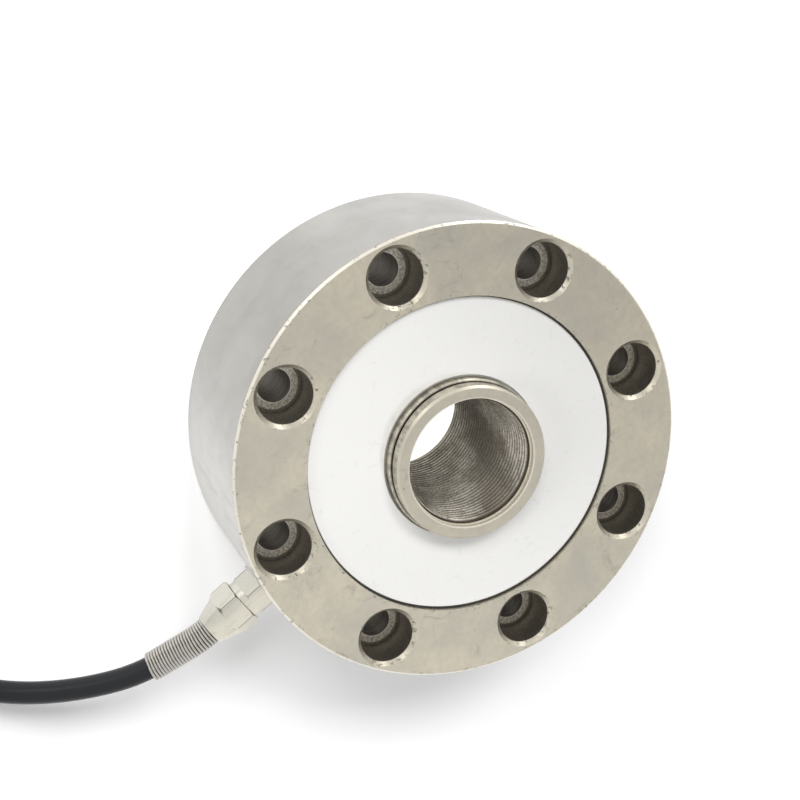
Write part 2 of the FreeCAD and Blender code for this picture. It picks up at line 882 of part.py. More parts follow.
def make_gland_insides():
    jacket = cable_radius + size("jacket_clearance")
    wall = spring_pocket_radius - size("jacket_clearance")
    bore = cap_bore_radius - size("jacket_clearance")
    taper = cap_bore_radius - spring_pocket_radius
    grommet = turned_body(
        "gland_grommet",
        [
            (grommet_start, jacket),
            (grommet_start, bore),
            (grommet_end - taper, bore),
            (grommet_end, bore - taper),
            (grommet_end, jacket),
        ],
    )
    washer_bore = size("inlet_thread_diameter") / 2 + size("inlet_thread_clearance")
    return [
        make_sleeve("gland_washer", port_face, base_start, washer_bore, size("washer_diameter") / 2),
        grommet,
        make_sleeve(
            "gland_clamp_ring", clamp_end - size("clamp_ring_thickness"), clamp_end, jacket, wall
        ),
    ]


# Cable: route of the free length, in the order in which it leaves the gland. X is measured from the
# gland's nose. The first two points lie on the gland's axis, and the last one on the coil's lowest turn.

CABLE_POINTS = [
    (0, 0, 24.7),
    (3, 0, 24.7),
    (8.85, -0.8, 23.8),
    (21.45, -2.6, 21.9),
    (33.65, -7.5, 17.8),
    (44.45, -13.9, 13.4),
    (53.15, -21.9, 9.6),
    (58.85, -31.8, 6.7),
    (61.45, -43.5, 4.9),
    (61.55, -57.0, 4.25),
]

coil_turn = size("cable_diameter") + size("coil_turn_gap")
coil_wide = size("coil_turns_wide") * coil_turn
coil_high = size("coil_turns_high") * coil_turn
coil_inner = (size("coil_mean_diameter") - coil_wide) / 2
coil_outer = (size("coil_mean_diameter") + coil_wide) / 2
coil_mean = size("coil_mean_diameter") / 2
coil_top = size("coil_lift") + coil_high


def cable_points():
    points = [FreeCAD.Vector(nose_end.number + x, y, z) for x, y, z in CABLE_POINTS]
    points[0].z = port_height.number
    points[1].z = port_height.number
    points[-1].z = size("coil_lift").number + coil_turn.number / 2
    return points


def rounded_route(points):
    """Edges of straight runs joined by arcs, each as large as its two runs allow, and the arcs' radii."""
    edges = []
    radii = []
    last = points[0]
    for before, corner, after in zip(points, points[1:], points[2:]):
        shorter = min((corner - before).Length, (after - corner).Length)
        start, middle, end, radius = arc_corner(before, corner, after, 0.45 * shorter)
        edges.append(Part.LineSegment(last, start).toShape())
        edges.append(Part.Arc(start, middle, end).toShape())
        radii.append(radius)
        last = end
    edges.append(Part.LineSegment(last, points[-1]).toShape())
    return edges, radii


def coil_centre():
    """The coil's outermost turn carries on from the route's last point."""
    end = cable_points()[-1]
    turn_radius = coil_outer.number - coil_turn.number / 2
    return FreeCAD.Vector(end.x + turn_radius, end.y, size("coil_lift").number)


def make_coil():
    """Closed ring of the bundle's outer shape, bevelled at its corners."""
    centre = coil_centre()
    rim = Part.makeCylinder(coil_outer.number, coil_high.number, centre)
    eye = Part.makeCylinder(coil_inner.number, coil_high.number, centre)
    ring = rim.cut(eye)
    round_edges = [edge for edge in ring.Edges if isinstance(edge.Curve, Part.Circle)]
    return make_feature("cable_coil", ring.makeChamfer(size("coil_bevel").number, round_edges))


def make_cable_tube(coil):
    edges, radii = rounded_route(cable_points())
    path = Part.Wire(edges)
    tube = swept_round(path, cable_radius.number)
    section = math.pi * cable_radius.number**2
    print("cable arcs, mm:", ", ".join(f"{radius:.1f}" for radius in radii))
    print(f"cable tube volume over section times length: {tube.Volume / (section * path.Length):.4f}")
    return make_feature("cable_tube", tube.cut(coil.Shape))


def make_cable_inlet():
    """Jacket from its cut end in the cavity to the nose of the gland."""
    inlet = document.addObject("Part::Cylinder", "cable_inlet")
    inlet.Label = "cable_inlet"
    inlet.setExpression("Radius", cable_radius.text)
    inlet.setExpression("Height", (nose_end - jacket_end).text)
    inlet.Placement = FreeCAD.Placement(
        FreeCAD.Vector(jacket_end.number, 0, port_height.number),
        FreeCAD.Rotation(FreeCAD.Vector(0, 1, 0), 90),
    )
    return inlet


def turn_groove(point, direction, depth, width):
    """Ring of V section, open outwards, that parts two turns of the spring."""
    floor = spring_outer_radius.number - depth
    brim = spring_outer_radius.number + depth
    flare = width * (brim - floor) / (2 * depth)
    corners = [
        FreeCAD.Vector(floor, 0, 0),
        FreeCAD.Vector(brim, 0, flare),
        FreeCAD.Vector(brim, 0, -flare),
    ]
    section = Part.Face(Part.makePolygon(corners + corners[:1]))
    ring = section.revolve(FreeCAD.Vector(0, 0, 0), FreeCAD.Vector(0, 0, 1), 360)
    ring.Placement = FreeCAD.Placement(
        point, FreeCAD.Rotation(FreeCAD.Vector(0, 0, 1), direction)
    )
    return ring


def make_spring():
    """Close-wound spring along the first stretch of the cable, with a groove between each two turns."""
    edges, _ = rounded_route(cable_points())
    start = FreeCAD.Vector(spring_start.number, 0, port_height.number)
    stretch = [Part.LineSegment(start, edges[0].valueAt(edges[0].LastParameter)).toShape()]
    left = size("spring_length").number - stretch[0].Length
    for edge in edges[1:]:
        if edge.Length >= left:
            end = edge.getParameterByLength(left)
            stretch.append(edge.Curve.toShape(edge.FirstParameter, end))
            break
        stretch.append(edge)
        left -= edge.Length
    path = Part.Wire(stretch)
    outer = swept_round(path, spring_outer_radius.number)
    inner = swept_round(path, spring_inner_radius.number)
    sleeve = outer.cut(inner)
    wire = size("spring_wire").number
    turns = round(path.Length / wire)
    grooves = []
    for turn in range(1, turns):
        point, direction = station_on(stretch, turn * path.Length / turns)
        grooves.append(turn_groove(point, direction, wire / 3, wire / 2))
    return make_feature("strain_spring", sleeve.cut(grooves))


def station_on(edges, distance):
    """Point and direction at a distance along a chain of edges."""
    for edge in edges:
        if distance <= edge.Length:
            parameter = edge.getParameterByLength(distance)
            return edge.valueAt(parameter), edge.tangentAt(parameter)
        distance -= edge.Length
    raise RuntimeError("the distance is past the end of the path")


def lengthwise_edges(box, width):
    """The four edges of a box that run along Y."""
    return [
        edge
        for edge in box.Edges
        if abs(edge.Vertexes[0].Point.y - edge.Vertexes[-1].Point.y) > width / 2
    ]


def make_tie():
    """Strap round the bundle at one azimuth of the coil."""
    gap = size("tie_clearance").number
    thickness = size("tie_thickness").number
    width = size("tie_width").number
    corner = size("coil_bevel").number
    near = math.sqrt(coil_inner.number**2 - (width / 2) ** 2) - gap
    far = coil_outer.number + gap
    height = coil_high.number + 2 * gap
    hole = Part.makeBox(far - near, width, height, FreeCAD.Vector(near, -width / 2, -gap))
    hull = Part.makeBox(
        far - near + 2 * thickness,
        width,
        height + 2 * thickness,
        FreeCAD.Vector(near - thickness, -width / 2, -gap - thickness),
    )
    strap = hull.makeFillet(corner, lengthwise_edges(hull, width)).cut(
        hole.makeFillet(corner - thickness, lengthwise_edges(hole, width))
    )
    tie = make_feature("coil_tie", strap)
    tie.Placement = FreeCAD.Placement(
        coil_centre(), FreeCAD.Rotation(FreeCAD.Vector(0, 0, 1), size("tie_angle").number)
    )
    return tie


def make_along_y(name, start, length, radius):
    """Round piece lying along +Y."""
    piece = document.addObject("Part::Cylinder", name)
    piece.Label = name
    piece.setExpression("Radius", radius.text)
    piece.setExpression("Height", length.text)
    piece.Placement = FreeCAD.Placement(start, FreeCAD.Rotation(FreeCAD.Vector(1, 0, 0), -90))
    return piece


def make_cable_end():
    """Tail, shrink sleeve and bare cores, lying on the coil along the tangent of its middle turn."""
    centre = coil_centre()
    sleeve_radius = cable_radius + size("sleeve_wall")
    axis = FreeCAD.Vector(
        centre.x + coil_mean.number,
        centre.y - size("tail_reach").number,
        coil_top.number + sleeve_radius.number,
    )
    pieces = [make_along_y("cable_tail", axis, size("tail_length"), cable_radius)]
    axis = axis + FreeCAD.Vector(0, size("tail_length").number, 0)
    pieces.append(make_along_y("cable_end_sleeve", axis, size("sleeve_length"), sleeve_radius))
    axis = axis + FreeCAD.Vector(0, size("sleeve_length").number, 0)
    tips = []
    for index, name in enumerate(("core_red", "core_black", "core_green", "core_white")):
        shift = (index - 1.5) * size("bare_core_fan").number
        start = axis + FreeCAD.Vector(shift, 0, 0)
        pieces.append(make_along_y(name, start, size("bare_core_length"), core_radius))
        start = start + FreeCAD.Vector(0, size("bare_core_length").number, 0)
        tips.append(
            make_along_y(f"{name}_tip", start, size("core_tip_length"), size("core_tip_diameter") / 2)
        )
    group = document.addObject("Part::Compound", "core_tips")
    group.Label = "core_tips"
    group.Links = tips
    pieces.append(group)
    return pieces


def make_parts():
    coil = make_coil()
    front_face = ring_top - size("cover_sink")
    return (
        [make_element()]
        + [make_cover("front_cover", front_seat, front_face)]
        + [make_cover("rear_cover", rear_seat, size("cover_sink"))]
        + make_seals()
        + make_gauges()
        + [make_board(), make_solder_pads()]
        + make_board_pieces()
        + make_leads()
        + [make_gland_body(), make_cap_nut()]
        + make_gland_insides()
        + [make_cable_inlet(), make_spring(), make_cable_tube(coil), coil, make_tie()]
        + make_cable_end()
    )


def check(parts):
    """Stops at any object that failed and at any sub-part without a sound solid."""
    for item in document.Objects:
        if "Invalid" in item.State or "Error" in item.State:
            raise RuntimeError(f"{item.Name} failed: {item.State}")
    for item in parts:
        if item.Shape.isNull() or not item.Shape.isValid() or not item.Shape.Solids:
            raise RuntimeError(f"{item.Label} has no valid solid")


def write(parts):
    os.makedirs("parts", exist_ok=True)
    for item in parts:
        item.Shape.exportStep(f"parts/{item.Label}.step")
        print(f"{item.Label}: {len(item.Shape.Solids)} solid, {item.Shape.Volume:.1f} cubic mm")


parts = make_parts()
document.recompute()
check(parts)
write(parts)
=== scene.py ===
import math

import bpy
import numpy as np
from mathutils import Matrix, Vector


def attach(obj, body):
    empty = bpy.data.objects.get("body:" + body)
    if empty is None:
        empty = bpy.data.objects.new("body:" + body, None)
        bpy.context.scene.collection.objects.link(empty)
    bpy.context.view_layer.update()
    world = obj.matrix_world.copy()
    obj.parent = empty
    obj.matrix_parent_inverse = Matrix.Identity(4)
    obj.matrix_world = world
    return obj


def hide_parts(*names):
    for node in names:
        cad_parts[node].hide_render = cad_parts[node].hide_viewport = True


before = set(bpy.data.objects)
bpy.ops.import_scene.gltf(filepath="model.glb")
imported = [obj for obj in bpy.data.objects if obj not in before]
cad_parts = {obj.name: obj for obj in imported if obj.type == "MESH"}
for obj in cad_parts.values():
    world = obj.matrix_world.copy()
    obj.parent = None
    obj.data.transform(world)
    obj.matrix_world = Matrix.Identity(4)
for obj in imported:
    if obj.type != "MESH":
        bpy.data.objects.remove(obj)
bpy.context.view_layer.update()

# The frame is in metres, and the sizes below are in millimetres unless they say otherwise
MM = 0.001


# Sizes of the cell that the finishes follow

RING_RADIUS = 60.0
RING_TOP = 47.5
RIM_CHAMFER = 0.6
RECESS_RADIUS = 41.55
BOLT_CIRCLE_RADIUS = 50.75
BOLT_PITCH = math.radians(45.0)
FIRST_BOLT_ANGLE = math.radians(28.5)
BOLT_HOLE_RADIUS = 4.3
COUNTERBORE_RADIUS = 7.05
COUNTERBORE_FLOOR = 36.7
COLLAR_RADIUS = 20.7
COLLAR_TOP = 48.5
GROOVE_TOP = 49.2
HUB_SIDE_TOP = 52.0
MOUTH_RADIUS = 17.05
MOUTH_FLOOR = 51.0
GLAND_AXIS_HEIGHT = 24.7


# Camera and lamps

# Photograph's viewpoint: place in metres, the image's right and up, and the axis towards the viewer
CAMERA_PLACE = (0.037436, -0.181287, 0.370517)
CAMERA_RIGHT = (-0.74311, 0.56706, 0.35529)
CAMERA_UP = (-0.66250, -0.69821, -0.27127)
CAMERA_BACK = (0.09424, -0.43696, 0.89453)
SENSOR_WIDTH = 36.0
FOCAL_LENGTH = 66.38
CAMERA_SHIFT = (-0.00235, 0.00142)
CLIP_METRES = (0.01, 50.0)

# Name, direction seen from the cell, distance and side in metres, watts, and whether metal mirrors it
LAMPS = (
    ("key_softbox", (-0.46, -0.46, 0.84), 1.0, 0.28, 5.5, False),
    ("side_fill", (-0.12, -0.70, 0.71), 1.2, 0.40, 7.0, False),
    ("glint_behind", (-0.90, -0.37, 0.24), 1.2, 0.50, 1.6, True),
    ("glint_above", (0.0, -0.74, 0.41), 1.2, 0.40, 0.7, True),
    ("left_fill", (0.70, -0.58, 0.42), 1.2, 0.40, 4.0, False),
)
LAMP_TARGET = Vector((0.0, 0.0, 0.03))


def make_camera():
    data = bpy.data.cameras.new("camera")
    data.sensor_width = SENSOR_WIDTH
    data.lens = FOCAL_LENGTH
    data.shift_x, data.shift_y = CAMERA_SHIFT
    data.clip_start, data.clip_end = CLIP_METRES
    camera = bpy.data.objects.new("camera", data)
    bpy.context.scene.collection.objects.link(camera)
    turn = Matrix((CAMERA_RIGHT, CAMERA_UP, CAMERA_BACK)).transposed().to_4x4()
    camera.matrix_world = Matrix.Translation(CAMERA_PLACE) @ turn
    bpy.context.scene.camera = camera


def make_lamps():
    """Square softboxes that look at the cell."""
    for name, direction, distance, side, watts, mirrored in LAMPS:
        data = bpy.data.lights.new(name, "AREA")
        data.shape = "SQUARE"
        data.size = side
        data.energy = watts
        lamp = bpy.data.objects.new(name, data)
        bpy.context.scene.collection.objects.link(lamp)
        away = Vector(direction).normalized()
        lamp.location = LAMP_TARGET + away * distance
        lamp.rotation_mode = "QUATERNION"
        lamp.rotation_quaternion = (-away).to_track_quat("-Z", "Y")
        lamp.visible_glossy = mirrored


# Node trees

class Nodes:
    """Node tree of the room or of a material."""

    def __init__(self, tree):
        self.tree = tree
        tree.nodes.clear()

    def node(self, kind, **settings):
        made = self.tree.nodes.new(kind)
        for key, value in settings.items():
            setattr(made, key, value)
        return made

    def link(self, value, socket):
        """Joins an output to the socket, or writes a plain value in it."""
        if isinstance(value, bpy.types.NodeSocket):
            self.tree.links.new(value, socket)
        elif socket.type == "RGBA":
            socket.default_value = (*value[:3], 1.0)
        else:
            socket.default_value = value

    def filled(self, kind, *values, **settings):
        """First output of a new node, whose inputs take the values in order."""
        made = self.node(kind, **settings)
        for value, socket in zip(values, made.inputs):
            self.link(value, socket)
        return made.outputs[0]

    def show(self, shader, kind):
        """Sends the shader to a new output node."""
        output = self.node(kind)
        self.link(shader, output.inputs["Surface"])

    def math(self, operation, *values):
        return self.filled("ShaderNodeMath", *values, operation=operation)

    def product(self, *values):
        made = values[0]
        for value in values[1:]:
            made = self.math("MULTIPLY", made, value)
        return made

    def split(self, vector):
        made = self.node("ShaderNodeSeparateXYZ")
        self.link(vector, made.inputs[0])
        return made.outputs

    def ramp(self, value, low, high, start=0.0, end=1.0):
        """Smooth step of value from start at low to end at high."""
        return self.filled(
            "ShaderNodeMapRange", value, low, high, start, end, interpolation_type="SMOOTHSTEP", clamp=True
        )

    def mask(self, *edges):
        """1 where each value is past its edge. An edge is a value, where it still gives 0 and where it gives 1."""
        return self.product(*(self.ramp(*edge) for edge in edges))

    def mix(self, factor, first, second):
        """Colour between two colours."""
        made = self.node("ShaderNodeMix", data_type="RGBA", clamp_factor=True)
        for value, index in ((factor, 0), (first, 6), (second, 7)):
            self.link(value, made.inputs[index])
        return made.outputs[2]

    def blend(self, factor, first, second):
        """Number between two numbers."""
        made = self.node("ShaderNodeMix", data_type="FLOAT", clamp_factor=True)
        for value, index in ((factor, 0), (first, 2), (second, 3)):
            self.link(value, made.inputs[index])
        return made.outputs[0]


class Finish(Nodes):
    """Node tree of one material. Places are read in millimetres in the object's own frame."""

    def __init__(self, name):
        self.material = bpy.data.materials.new(name)
        self.material.use_nodes = True
        super().__init__(self.material.node_tree)
        coordinates = self.node("ShaderNodeTexCoord")
        self.place = self.stretched(coordinates.outputs["Object"], (1.0 / MM,) * 3)
        self.x, self.y, self.z = self.split(self.place)
        self.radius = self.length(self.x, self.y)

    def length(self, first, second):
        """Length of the vector with these two sides."""
        squares = self.math("ADD", self.product(first, first), self.product(second, second))
        return self.math("SQRT", squares)

    def azimuth(self):
        """Angle round the load axis in degrees."""
        return self.product(self.math("ARCTAN2", self.y, self.x), 180.0 / math.pi)

    def stretched(self, vector, factors):
        made = self.node("ShaderNodeVectorMath", operation="MULTIPLY")
        self.link(vector, made.inputs[0])
        made.inputs[1].default_value = factors
        return made.outputs[0]

    def noise(self, size, detail=2.0, rough=0.5, stretch=None, warp=0.0):
        """Noise whose features are about size millimetres across."""
        made = self.node("ShaderNodeTexNoise")
        self.link(self.place if stretch is None else self.stretched(self.place, stretch), made.inputs["Vector"])
        made.inputs["Scale"].default_value = 1.0 / size
        made.inputs["Detail"].default_value = detail
        made.inputs["Roughness"].default_value = rough
        made.inputs["Distortion"].default_value = warp
        return made.outputs[0]

    def cells(self, size, output):
        made = self.node("ShaderNodeTexVoronoi")
        self.link(self.place, made.inputs["Vector"])
        made.inputs["Scale"].default_value = 1.0 / size
        return made.outputs[output]

    def stain(self, colour, value, low, high, amount, stain):
        """Colour that takes up to that amount of the stain as the value goes from low to high."""
        return self.mix(self.ramp(value, low, high, 0.0, amount), colour, stain)

    def bump(self, height, depth, normal=None):
        """Bump whose full height is depth millimetres."""
        made = self.node("ShaderNodeBump")
        made.inputs["Strength"].default_value = 1.0
        made.inputs["Distance"].default_value = depth * MM
        self.link(height, made.inputs["Height"])
        if normal is not None:
            self.link(normal, made.inputs["Normal"])
        return made.outputs[0]

    def done(self, colour, rough, metallic=0.0, normal=None, **sockets):
        shader = self.node("ShaderNodeBsdfPrincipled")
        self.link(colour, shader.inputs["Base Color"])
        self.link(rough, shader.inputs["Roughness"])
        shader.inputs["Metallic"].default_value = metallic
        for name, value in sockets.items():
            shader.inputs[name].default_value = value
        if normal is not None:
            self.link(normal, shader.inputs["Normal"])
        self.show(shader.outputs[0], "ShaderNodeOutputMaterial")
        return self.material


# Floor and surroundings

# Glow of the floor to the camera and in metal: near the cell, and seen through the bore, where it is painted light
# in place of the light that falls through the bore onto the shaded floor. Far away it is 1.
FLOOR_GLOW = 0.35
FLOOR_PAINTED_LIGHT_IN_BORE = 0.95
BORE_PAINTED_LIGHT_EDGE = (17.0, 19.0)
FAR_FLOOR = (350.0, 1000.0)
FLOOR_HALF_METRES = 6.0
FLOOR_METRES_DOWN = 0.00005


def floor_paper():
    """Pale paper that keeps the shadow and reads as white to the camera and in metal.

    It is clear from below, so that the part's underside can be looked at.
    """
    finish = Finish("floor_paper")
    colour = finish.mix(finish.noise(9.0, detail=3.0), (0.80, 0.80, 0.805), (0.83, 0.83, 0.835))
    diffuse = finish.node("ShaderNodeBsdfDiffuse")
    finish.link(colour, diffuse.inputs["Color"])

    ray = finish.node("ShaderNodeLightPath").outputs
    seen = finish.math("MAXIMUM", ray["Is Camera Ray"], ray["Is Glossy Ray"])
    seen = finish.math("MAXIMUM", seen, ray["Is Transmission Ray"])
    # Painted light: inside the bore's radius the floor glows almost white, a painted pool of light seen through the
    # bore.
    level = finish.ramp(finish.radius, *BORE_PAINTED_LIGHT_EDGE, FLOOR_PAINTED_LIGHT_IN_BORE, FLOOR_GLOW)
    level = finish.math("MAXIMUM", level, finish.ramp(finish.radius, *FAR_FLOOR))
    glow = finish.node("ShaderNodeEmission")
    finish.link(finish.product(seen, level), glow.inputs["Strength"])
    finish.material.cycles.emission_sampling = "NONE"

    above = finish.filled("ShaderNodeAddShader", diffuse.outputs[0], glow.outputs[0])
    below = finish.node("ShaderNodeBsdfTransparent").outputs[0]
    from_below = finish.node("ShaderNodeNewGeometry").outputs["Backfacing"]
    finish.show(finish.filled("ShaderNodeMixShader", from_below, above, below), "ShaderNodeOutputMaterial")
    return finish.material


def make_floor():
    mesh = bpy.data.meshes.new("floor")
    half, low = FLOOR_HALF_METRES, -FLOOR_METRES_DOWN
    corners = [(-half, -half, low), (half, -half, low), (half, half, low), (-half, half, low)]
    mesh.from_pydata(corners, [], [(0, 1, 2, 3)])
    floor = bpy.data.objects.new("floor", mesh)
    floor.data.materials.append(floor_paper())
    bpy.context.scene.collection.objects.link(floor)


# Brightness of the room: as light, as metal mirrors it, and in its dark patch as metal mirrors it
ROOM_LIGHT = 0.15
ROOM_WHITE = 1.0
ROOM_DARK = 0.05


def make_world():
    """White room with a darker patch high on one side, which shades the flat faces from one end to the other.

    The room isn't sampled as a lamp, because such samples don't say that they light metal.
    """
    world = bpy.data.worlds.new("room")
    bpy.context.scene.world = world
    world.use_nodes = True
    world.cycles.sampling_method = "NONE"
    room = Nodes(world.node_tree)
    x, y, z = room.split(room.node("ShaderNodeTexCoord").outputs["Generated"])
    patch = room.mask((x, 0.0, -0.40), (y, 0.05, 0.35), (z, 0.70, 0.86))
    ray = room.node("ShaderNodeLightPath").outputs
    in_metal = room.blend(patch, ROOM_WHITE, ROOM_DARK)
    strength = room.blend(ray["Is Glossy Ray"], ROOM_LIGHT, in_metal)
    strength = room.blend(ray["Is Camera Ray"], strength, 1.0)
    room.show(room.filled("ShaderNodeBackground", (1.0, 1.0, 1.0), strength), "ShaderNodeOutputWorld")


# Surfaces

def grid_piece(name, points, material, closed_across=False):
    """Piece from a grid of points, rows by columns by 3. Quads face the way rows cross columns."""
    rows, columns, _ = points.shape
    row = np.arange(rows - 1)[:, None] * columns
    column = np.arange(columns if closed_across else columns - 1)[None, :]
    after = (column + 1) % columns
    corners = [row + column, row + after, row + columns + after, row + columns + column]
    quads = np.stack(corners, axis=-1).reshape(-1, 4)
    mesh = bpy.data.meshes.new(name)
    mesh.vertices.add(rows * columns)
    mesh.vertices.foreach_set("co", (points * MM).astype(np.float32).ravel())
    mesh.loops.add(quads.size)
    mesh.polygons.add(len(quads))
    mesh.loops.foreach_set("vertex_index", quads.ravel())
    mesh.polygons.foreach_set("loop_start", np.arange(0, quads.size, 4))
    mesh.polygons.foreach_set("use_smooth", np.full(len(quads), True))
    mesh.update(calc_edges=True)
    mesh.validate()
    piece = bpy.data.objects.new(name, mesh)
    piece.data.materials.append(material)
    bpy.context.scene.collection.objects.link(piece)
    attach(piece, "root")
    return piece


# Thread in the hub

THREAD_PITCH = 1.5
THREAD_ROOT = 16.56
THREAD_CREST = 15.72
THREAD_LOW = 2.4
THREAD_HIGH = 50.25
THREAD_STEPS = 96
# Place across the ridge in pitches, and the part of the ridge's height that is reached there
THREAD_PROFILE = (
    (-0.50, 0.00), (-0.44, 0.02), (-0.18, 0.86), (-0.13, 0.95), (-0.07, 0.99), (0.00, 1.00),
    (0.07, 0.99), (0.13, 0.95), (0.18, 0.86), (0.44, 0.02), (0.50, 0.00),
)


def thread_surface():
    """Ridge of the inner thread as a function of the angle along the helix and of the place across the ridge.

    The height rises by one pitch a turn. Across the ridge the radius goes from the root down the flank
    to a narrow crest and back up, and the ridge fades into the wall over the first and last half turn.
    """
    turns = (THREAD_HIGH - THREAD_LOW) / THREAD_PITCH
    angle = np.linspace(0.0, 2.0 * math.pi * turns, int(turns * THREAD_STEPS) + 1)[:, None]
    across, lift = np.array(THREAD_PROFILE).T[:, None, :]
    fade = np.clip(np.minimum(angle, angle[-1] - angle) / math.pi, 0.0, 1.0)
    radius = THREAD_ROOT - (THREAD_ROOT - THREAD_CREST) * lift * fade
    height = THREAD_LOW + THREAD_PITCH * (angle / (2.0 * math.pi) + across)
    return np.stack([radius * np.cos(angle), radius * np.sin(angle), height], axis=-1)


# Cable: route of the free length, then a coil of the rest

CABLE_DIAMETER = 6.0
ROUTE = [
    (77.95, 0, 24.7),
    (80.95, 0, 24.7),
    (86.8, -0.8, 23.8),
    (99.4, -2.6, 21.9),
    (111.6, -7.5, 17.8),
    (122.4, -13.9, 13.4),
    (131.1, -21.9, 9.6),
    (136.8, -31.8, 6.7),
    (139.4, -43.5, 4.9),
    (139.5, -57.0, 4.25),
]
COIL_CENTRE = (175.8, -57.0)
COIL_RADII = (36.3, 30.0, 23.7)
COIL_LAYERS = 5
FIRST_LAYER = 4.25
LAYER_HEIGHT = 6.3
TOP_RUN = 36.1
TOP_RADIUS = 36.0

# Angles round the coil in degrees, between its control points and along its layers
POINT_STEP = 22.5
COIL_ENTRY = 180.0
FIRST_LAYER_START = 205.0
LAYER_SWEEP = 990.0
SHIFT_STARTS = (270.0, 630.0)
SHIFT_SWEEP = 60.0
CLIMB_SWEEP = 50.0
TOP_SWEEP = 145.0

LAST_BEND_CENTRE = (180.8, -67.0)
LAST_BEND_RADIUS = 25.0
LAST_BEND_START = -101.25
SLEEVE_START = (205.8, -66.5, TOP_RUN)

# Steps of the cable's smooth line between two control points, as drawn and as read for what lies on it
DRAWN_STEPS = 8
READ_STEPS = 24
# Length of the line that is read past the end of what lies on it
READ_SPARE = 2.0


def coil_stations():
    """Angle, radius and height where the winding changes: three turns a layer, inwards and outwards by turns.

    Each layer shifts its turns sideways in one sector and climbs in the sector before it, and the
    sectors step back by a quarter turn from layer to layer, so that no turn meets another.
    """
    stations = [(COIL_ENTRY, COIL_RADII[0], FIRST_LAYER)]
    for layer in range(COIL_LAYERS):
        start = FIRST_LAYER_START + LAYER_SWEEP * layer
        end = start + LAYER_SWEEP
        radii = COIL_RADII if layer % 2 == 0 else COIL_RADII[::-1]
        height = FIRST_LAYER + LAYER_HEIGHT * layer
        above = height + LAYER_HEIGHT if layer < COIL_LAYERS - 1 else TOP_RUN
        for index, offset in enumerate(SHIFT_STARTS):
            stations.append((start + offset, radii[index], height))
            stations.append((start + offset + SHIFT_SWEEP, radii[index + 1], height))
        stations.append((end - CLIMB_SWEEP, radii[2], height))
        stations.append((end, radii[2], above))
    stations.append((end + TOP_SWEEP, TOP_RADIUS, TOP_RUN))
    return np.array(stations).T


def round_point(centre, radius, degrees, height):
    """Control point outside a circle, placed so that the smooth line runs along the circle."""
    outward = radius / math.cos(math.radians(POINT_STEP / 2))
    turn = math.radians(degrees)
    return (centre[0] + outward * math.cos(turn), centre[1] + outward * math.sin(turn), height)


def coil_points():
    """Control points of the coil and of the last bend, which leads to the sleeve."""
    angles, radii, heights = coil_stations()
    points = []
    for degrees in np.arange(COIL_ENTRY + POINT_STEP, angles[-1], POINT_STEP):
        radius = np.interp(degrees, angles, radii)
        points.append(round_point(COIL_CENTRE, radius, degrees, float(np.interp(degrees, angles, heights))))
    for degrees in np.arange(LAST_BEND_START, 0.0, POINT_STEP):
        points.append(round_point(LAST_BEND_CENTRE, LAST_BEND_RADIUS, degrees, TOP_RUN))
    return points + [SLEEVE_START]


def make_cable(material):
    data = bpy.data.curves.new("cable", "CURVE")
    data.dimensions = "3D"
    data.bevel_depth = CABLE_DIAMETER / 2 * MM
    data.bevel_resolution = 6
    data.resolution_u = DRAWN_STEPS
    data.use_fill_caps = True
    spline = data.splines.new("NURBS")
    points = ROUTE + coil_points()
    spline.points.add(len(points) - 1)
    for point, place in zip(spline.points, points):
        point.co = (*(value * MM for value in place), 1.0)
    spline.order_u = 3
    spline.use_endpoint_u = True
    data.materials.append(material)
    cable = bpy.data.objects.new("cable", data)
    bpy.context.scene.collection.objects.link(cable)
    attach(cable, "root")
    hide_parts("cable_tube", "cable_coil", "cable_tail")
    return cable


def cable_line(cable, reach):
    """Length along the cable and points of its centreline, over its first stretch."""
    bare = cable.copy()
    bare.data = cable.data.copy()
    bare.data.bevel_depth = 0.0
    bare.data.resolution_u = READ_STEPS
    bpy.context.scene.collection.objects.link(bare)
    mesh = bpy.data.meshes.new_from_object(bare.evaluated_get(bpy.context.evaluated_depsgraph_get()))
    line = np.array([vertex.co for vertex in mesh.vertices]) / MM
    bpy.data.meshes.remove(mesh)
    curve = bare.data
    bpy.data.objects.remove(bare)
    bpy.data.curves.remove(curve)
    along = np.concatenate([[0.0], np.cumsum(np.linalg.norm(np.diff(line, axis=0), axis=1))])
    kept = along <= reach + READ_SPARE
    return along[kept], line[kept]


# Strain relief spring

SPRING_START = 73.8
SPRING_LENGTH = 22.4
SPRING_WIRE = 0.8
SPRING_RADIUS = 3.55
SPRING_TURNS = 26.4
WIRE_SIDES = 10
WIRE_STEPS = 40


def unit(vectors):
    return vectors / np.linalg.norm(vectors, axis=1)[:, None]


def spring_surface(along, line):
    """Wire wound round the cable, as a function of the place along the wire and round its section.

    The wire's centre circles the cable's line at a fixed radius and moves on by one wire a turn, and
    the section is a small circle square to the way the wire goes.
    """
    inside = np.array([SPRING_START, *line[0][1:]])
    along = np.concatenate([[0.0], along + line[0][0] - SPRING_START])
    line = np.concatenate([[inside], line])
    steps = int(SPRING_TURNS * WIRE_STEPS)
    place = np.linspace(SPRING_WIRE / 2, SPRING_LENGTH - SPRING_WIRE / 2, steps + 1)
    centre = np.stack([np.interp(place, along, line[:, axis]) for axis in range(3)], axis=1)
    ahead = unit(np.gradient(centre, axis=0))
    side = unit(np.cross(ahead, (0.0, 0.0, 1.0)))
    top = np.cross(side, ahead)
    turn = np.linspace(0.0, 2.0 * math.pi * SPRING_TURNS, steps + 1)[:, None]
    outward = np.cos(turn) * side + np.sin(turn) * top
    wire = centre + SPRING_RADIUS * outward
    second = np.cross(unit(np.gradient(wire, axis=0)), outward)
    around = np.linspace(0.0, 2.0 * math.pi, WIRE_SIDES, endpoint=False)[None, :, None]
    section = np.cos(around) * outward[:, None, :] + np.sin(around) * second[:, None, :]
    return wire[:, None, :] + SPRING_WIRE / 2 * section


# Finishes of the spring element

